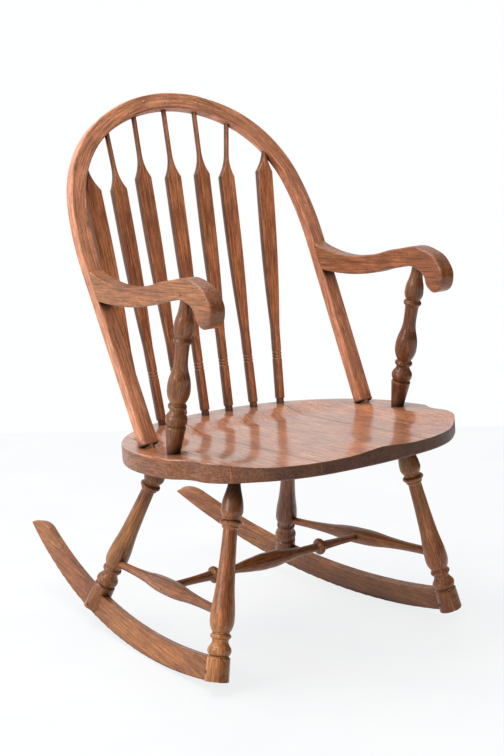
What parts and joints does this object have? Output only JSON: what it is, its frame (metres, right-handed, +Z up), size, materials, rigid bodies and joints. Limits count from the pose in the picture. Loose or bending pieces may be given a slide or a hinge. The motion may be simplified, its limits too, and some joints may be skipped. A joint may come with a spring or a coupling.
{
  "type": "rocking chair",
  "caption": "Wooden rocking chair with a bent hoop back of arrow spindles, scrolled arms on turned posts, a carved seat, and splayed turned legs on curved rockers.",
  "frame": {"origin": "on the floor, under the middle of the chair's width and depth", "axes": "+Z up; the chair faces -Y; +X to the right of someone looking at its front"},
  "size_m": [0.5578, 0.7946, 0.9133],
  "materials": {
    "seat_wood": "red-brown stain under satin varnish",
    "hoop_wood": "red-brown stain under satin varnish",
    "spindle_wood": "red-brown stain under satin varnish",
    "arm_wood": "red-brown stain under satin varnish",
    "turned_wood": "red-brown stain under satin varnish",
    "rocker_wood": "red-brown stain under satin varnish",
    "pin_wood": "red-brown stain under satin varnish",
    "screw_steel": "dull worn steel"
  },
  "bodies": {
    "root": {"arm_left": "arm_wood", "arm_pins": "pin_wood", "arm_post_left": "turned_wood", "arm_post_right": "turned_wood", "arm_right": "arm_wood", "arm_screws": "screw_steel", "cross_stretcher": "turned_wood", "hoop": "hoop_wood", "leg_back_left": "turned_wood", "leg_back_right": "turned_wood", "leg_front_left": "turned_wood", "leg_front_right": "turned_wood", "rocker_left": "rocker_wood", "rocker_pins": "pin_wood", "rocker_right": "rocker_wood", "seat_board_1": "seat_wood", "seat_board_2": "seat_wood", "seat_board_3": "seat_wood", "seat_board_4": "seat_wood", "side_stretcher_left": "turned_wood", "side_stretcher_right": "turned_wood", "spindle_1": "spindle_wood", "spindle_2": "spindle_wood", "spindle_3": "spindle_wood", "spindle_4": "spindle_wood", "spindle_5": "spindle_wood", "spindle_6": "spindle_wood", "spindle_7": "spindle_wood", "stretcher_pins": "pin_wood"}
  },
  "joints": []
}
